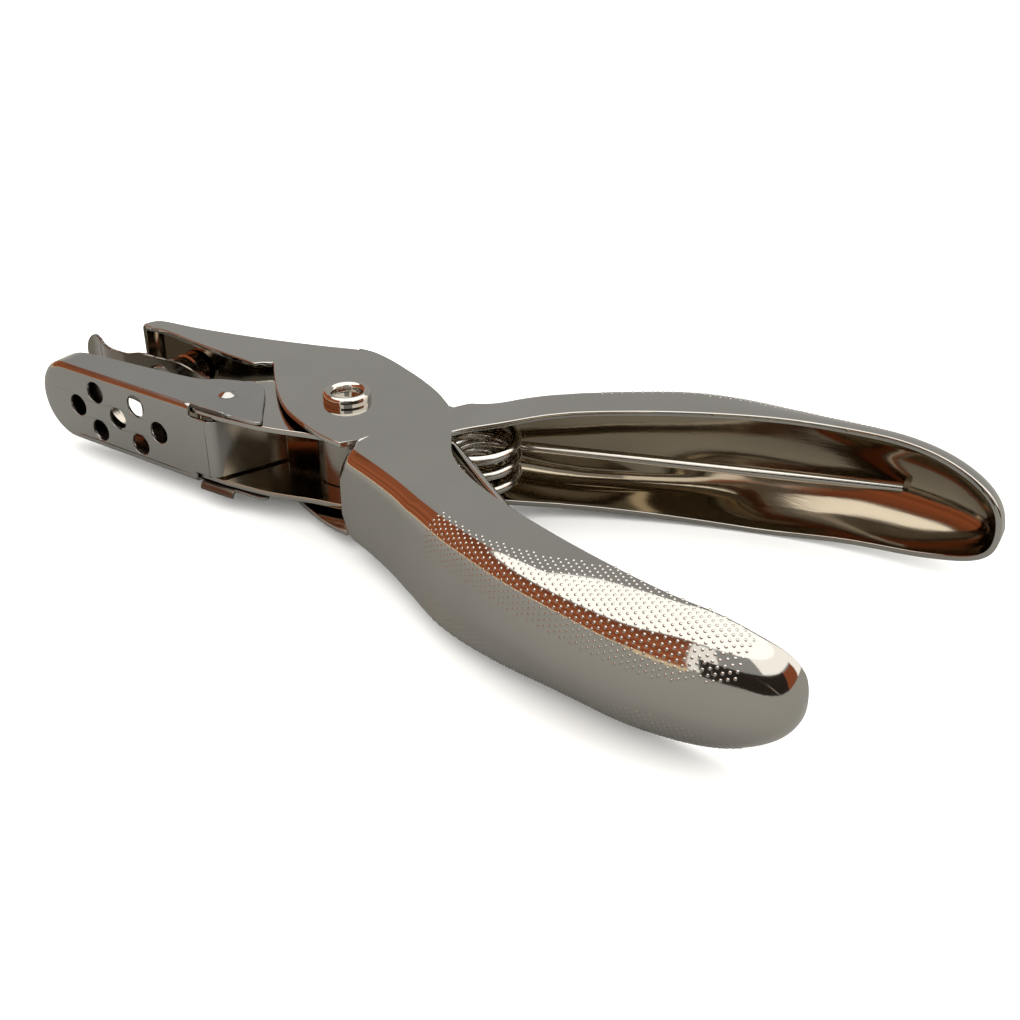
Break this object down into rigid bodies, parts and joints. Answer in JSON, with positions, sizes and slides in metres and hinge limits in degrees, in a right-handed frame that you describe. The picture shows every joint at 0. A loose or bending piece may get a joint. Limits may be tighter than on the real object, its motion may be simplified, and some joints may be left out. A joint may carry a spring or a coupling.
{
  "type": "hole punch",
  "caption": "Plier-type hand punch lying on its side: two crossed sheet-steel levers, sprung pivot, round punch and die, paper guide and perforated chip tray.",
  "frame": {"origin": "on the pivot axis, at the flat lower face of the pivot rivet, which is level with the palms and rests on the table", "axes": "+Z along the pivot axis and up, +X from the pivot towards the handles along the tool's length, the jaws towards -X"},
  "size_m": [0.1428, 0.0627, 0.0182],
  "materials": {
    "nickel_plate": "bright nickel plate",
    "tray_nickel": "bright nickel plate",
    "rivet_nickel": "bright nickel plate",
    "spring_wire": "plated spring wire",
    "spring_leaf": "plated spring steel",
    "plain_steel": "turned",
    "tool_steel": "hardened, ground"
  },
  "bodies": {
    "inner_lever": {"inner_lever": "nickel_plate", "pivot_rivet": "rivet_nickel", "pivot_spacer": "plain_steel", "return_spring": "spring_wire", "die_plate": "tool_steel"},
    "outer_lever": {"outer_lever": "nickel_plate", "punch_pin": "tool_steel"},
    "paper_guide": {"paper_guide": "spring_leaf"},
    "chip_tray": {"chip_tray": "tray_nickel"}
  },
  "joints": [
    {"name": "squeeze", "type": "hinge", "parent": "inner_lever", "child": "outer_lever", "pos_m": [0, 0, 0.0091], "axis": [0, 0, 1], "range_deg": [0, 11.5], "stiffness_Nm_per_rad": 2, "springref_deg": -20.05, "deforming": ["return_spring"]},
    {"name": "guide_flex", "type": "hinge", "parent": "inner_lever", "child": "paper_guide", "pos_m": [-0.0232, -0.0036, 0.0091], "axis": [0, 0, 1], "range_deg": [0, 14]},
    {"name": "tray_hinge", "type": "hinge", "parent": "inner_lever", "child": "chip_tray", "pos_m": [-0.0166, -0.0064, 0.0091], "axis": [0, 0, 1], "range_deg": [0, 45]}
  ],
  "couplings": [
    {"joint": "guide_flex", "follows": "squeeze", "ratio": 1.14}
  ]
}
